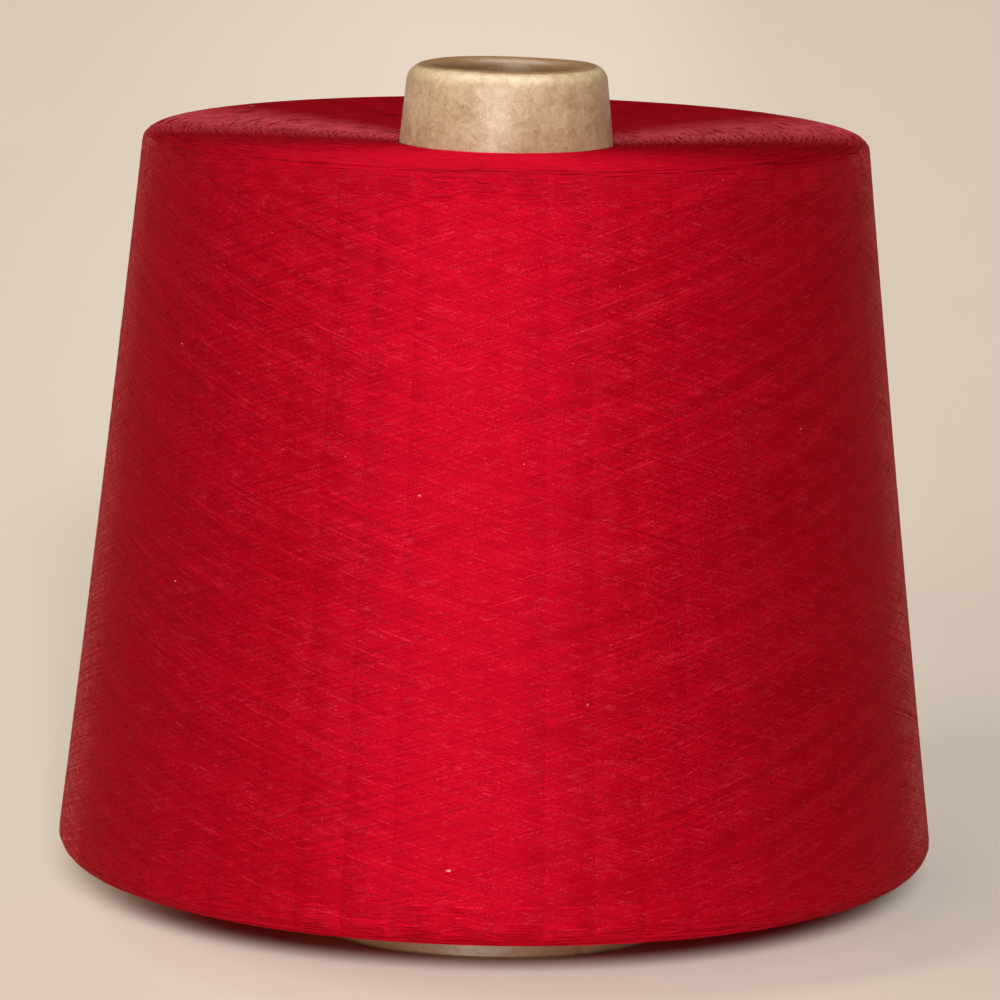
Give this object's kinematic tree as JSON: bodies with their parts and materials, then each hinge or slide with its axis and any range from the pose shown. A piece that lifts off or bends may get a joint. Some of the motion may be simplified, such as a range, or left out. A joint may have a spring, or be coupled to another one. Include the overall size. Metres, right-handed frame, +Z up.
{
  "type": "cone of thread",
  "caption": "Tapered cone of red thread wound crosswise on a paper core, with a shallow dished top and the core standing out at both ends.",
  "frame": {"origin": "centre of the core's foot, on the surface that the cone stands on", "axes": "+Z up along the core's axis, towards its nose; the part is alike all round, and the picture looks along +Y"},
  "size_m": [0.1722, 0.1722, 0.17],
  "materials": {
    "paperboard": "plain kraft paperboard, matt, fine mottled fibres with small dark specks",
    "thread": "fine red spun thread wound crosswise, soft sheen"
  },
  "bodies": {
    "root": {"core": "paperboard", "winding": "thread"}
  },
  "joints": []
}
